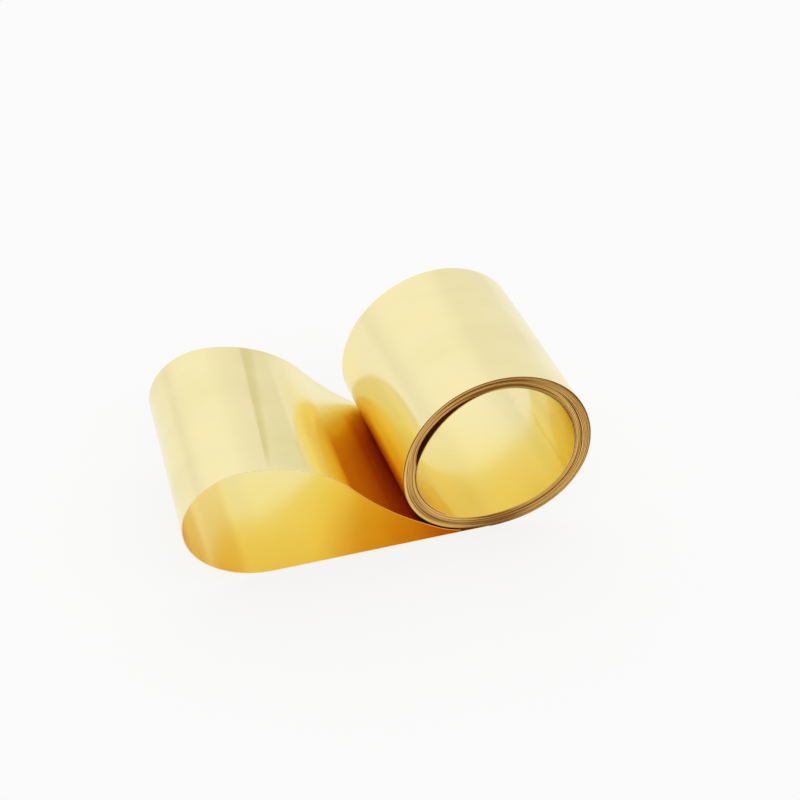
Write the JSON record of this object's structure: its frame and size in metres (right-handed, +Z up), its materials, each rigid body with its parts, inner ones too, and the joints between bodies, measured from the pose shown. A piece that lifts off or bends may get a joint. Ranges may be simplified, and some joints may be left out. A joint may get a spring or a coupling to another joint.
{
  "type": "roll of brass sheet",
  "caption": "Open roll of thin brass sheet lying on its side, with a clear bore and a loose end that loops over and tucks back under the roll.",
  "frame": {"origin": "middle of the box's underside, on the floor that the roll and the loose run lie on, half way along the roll", "axes": "+X from the loop towards the roll, +Y along the roll's bore, +Z up"},
  "size_m": [0.2188, 0.1, 0.108],
  "materials": {
    "brass": "bright cold-rolled brass with fine rolling lines and a soft gloss"
  },
  "bodies": {
    "root": {"brass_sheet": "brass"}
  },
  "joints": []
}
